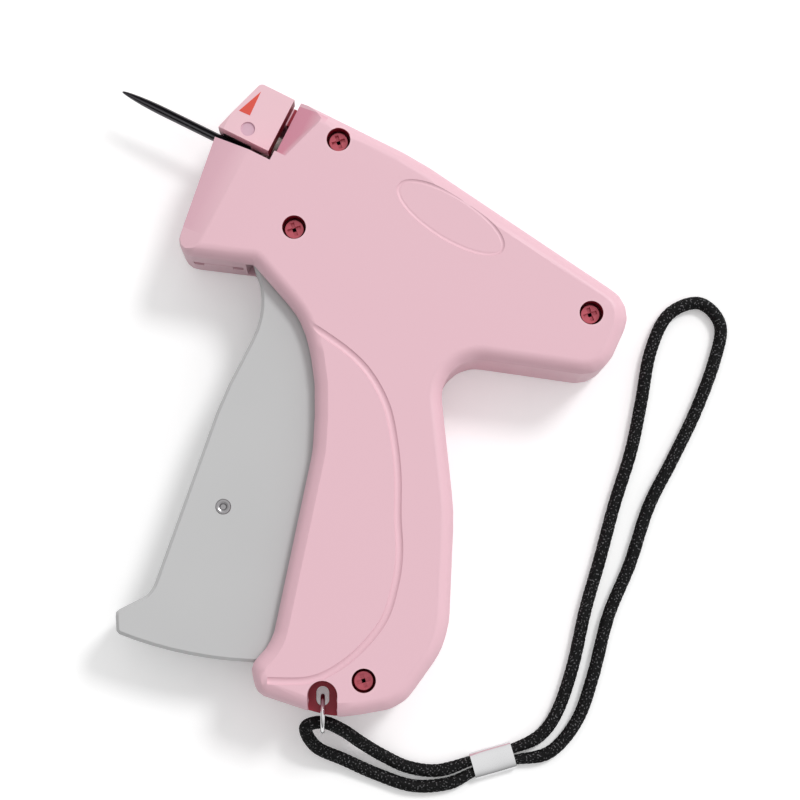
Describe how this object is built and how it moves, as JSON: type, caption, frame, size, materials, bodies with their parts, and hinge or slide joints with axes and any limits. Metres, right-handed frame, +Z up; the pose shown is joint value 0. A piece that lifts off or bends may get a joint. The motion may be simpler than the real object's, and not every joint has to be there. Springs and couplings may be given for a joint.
{
  "type": "garment tag attacher",
  "caption": "Hand-held tag attacher with a needle, a squeeze trigger that drives a push rod through a lever, and a wrist strap.",
  "frame": {"origin": "middle of the attacher's plan on the surface it lies on", "axes": "+Z up from the right side that it lies on, +X along the barrel from the needle to the back, +Y to the top of the barrel"},
  "size_m": [0.1481, 0.125, 0.022],
  "materials": {
    "body_plastic": "satin pink moulding with a fine grain",
    "head_plastic": "paler satin pink moulding",
    "trigger_plastic": "satin light grey moulding",
    "screw_steel": "plated, cross recess",
    "needle_steel": "polished hardened steel",
    "pin_steel": "ground",
    "pressed_steel": "plated sheet",
    "spring_steel": "drawn wire",
    "white_plastic": "natural acetal",
    "black_plastic": "black moulding",
    "red_plastic": "red moulding",
    "chrome": "bright plating",
    "cord": "black braided cord"
  },
  "bodies": {
    "root": {"left_shell": "body_plastic", "right_shell": "body_plastic", "case_screws": "screw_steel", "head_plate": "head_plastic", "needle_tube": "needle_steel", "needle_base": "black_plastic", "trigger_pivot_pin": "pin_steel", "lever_pivot_pin": "pin_steel", "rod_guide": "white_plastic", "return_spring": "spring_steel", "feed_shaft": "pin_steel", "pawl_pin": "pin_steel", "strap_ring": "chrome", "strap_cord": "cord", "strap_ferrule": "chrome"},
    "trigger": {"trigger": "trigger_plastic", "trigger_link_pin": "pin_steel"},
    "link": {"link": "pressed_steel", "link_pin": "pin_steel"},
    "lever": {"drive_lever": "white_plastic"},
    "slide": {"slide": "white_plastic", "slide_pin": "pin_steel", "push_rod": "pin_steel"},
    "feed_wheel": {"feed_wheel": "white_plastic"},
    "index_pawl": {"index_pawl": "white_plastic"},
    "needle_lock": {"needle_lock": "red_plastic"}
  },
  "joints": [
    {"name": "trigger_squeeze", "type": "hinge", "parent": "root", "child": "trigger", "pos_m": [-0.01399, 0.02666, 0.011], "axis": [0, 0, 1], "range_deg": [0, 16], "stiffness_Nm_per_rad": 1.5, "springref_deg": -11.46},
    {"name": "link_swing", "type": "hinge", "parent": "trigger", "child": "link", "pos_m": [0.00053, -0.02521, 0.011], "axis": [0, 0, 1], "range_deg": [-16.1, 0]},
    {"name": "lever_swing", "type": "hinge", "parent": "root", "child": "lever", "pos_m": [0.02851, -0.00209, 0.011], "axis": [0, 0, 1], "range_deg": [0, 41.7]},
    {"name": "slide_travel", "type": "slide", "parent": "root", "child": "slide", "axis": [-1, 0, 0], "range_m": [0, 0.0361], "deforming": ["return_spring"]},
    {"name": "index_pawl_swing", "type": "hinge", "parent": "root", "child": "index_pawl", "pos_m": [-0.00845, 0.04989, 0.0056], "axis": [0, 0, 1], "range_deg": [0, 5.7]},
    {"name": "feed_wheel_turn", "type": "hinge", "parent": "root", "child": "feed_wheel", "pos_m": [-0.0239, 0.04989, 0.0061], "axis": [1, 0, 0], "continuous": true},
    {"name": "needle_lock_turn", "type": "hinge", "parent": "root", "child": "needle_lock", "pos_m": [-0.02946, 0.03896, 0.0061], "axis": [0, 0, 1], "range_deg": [0, 90]}
  ],
  "couplings": [
    {"joint": "link_swing", "follows": "trigger_squeeze", "ratio": -1},
    {"joint": "lever_swing", "follows": "trigger_squeeze", "ratio": 2.603},
    {"joint": "slide_travel", "follows": "trigger_squeeze", "m_per_rad": 0.12892},
    {"joint": "index_pawl_swing", "follows": "trigger_squeeze", "ratio": 0.35}
  ]
}
